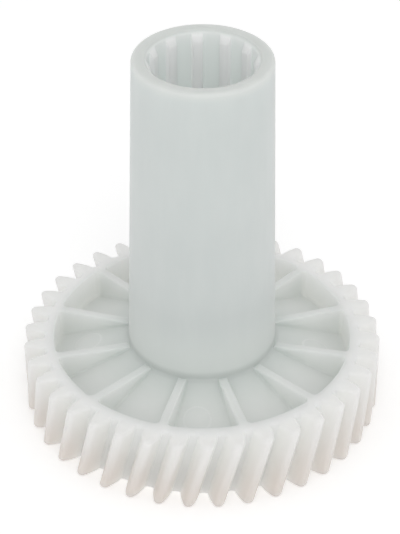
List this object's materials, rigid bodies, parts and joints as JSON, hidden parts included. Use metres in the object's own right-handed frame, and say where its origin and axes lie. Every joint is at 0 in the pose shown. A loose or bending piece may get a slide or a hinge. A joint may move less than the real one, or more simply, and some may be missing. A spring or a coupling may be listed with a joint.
{
  "type": "helical gear with splined sleeve",
  "caption": "One-piece moulded helical gear with a ribbed conical web and a tall hollow sleeve that ends in an internally splined drive socket.",
  "frame": {"origin": "on the gear axis, at the underside of the teeth and of the hub", "axes": "+Z along the gear axis, towards the mouth of the splined socket"},
  "size_m": [0.0824, 0.0824, 0.09],
  "materials": {
    "natural_acetal": "milky, slightly translucent moulded plastic with a soft satin skin"
  },
  "bodies": {
    "root": {"toothed_rim": "natural_acetal", "conical_web": "natural_acetal", "bearing_hub": "natural_acetal", "drive_sleeve": "natural_acetal", "socket_floor": "natural_acetal", "rib_01": "natural_acetal", "rib_02": "natural_acetal", "rib_03": "natural_acetal", "rib_04": "natural_acetal", "rib_05": "natural_acetal", "rib_06": "natural_acetal", "rib_07": "natural_acetal", "rib_08": "natural_acetal", "rib_09": "natural_acetal", "rib_10": "natural_acetal", "rib_11": "natural_acetal", "rib_12": "natural_acetal", "spline_01": "natural_acetal", "spline_02": "natural_acetal", "spline_03": "natural_acetal", "spline_04": "natural_acetal", "spline_05": "natural_acetal", "spline_06": "natural_acetal", "spline_07": "natural_acetal", "spline_08": "natural_acetal", "spline_09": "natural_acetal", "spline_10": "natural_acetal", "spline_11": "natural_acetal", "spline_12": "natural_acetal"}
  },
  "joints": []
}
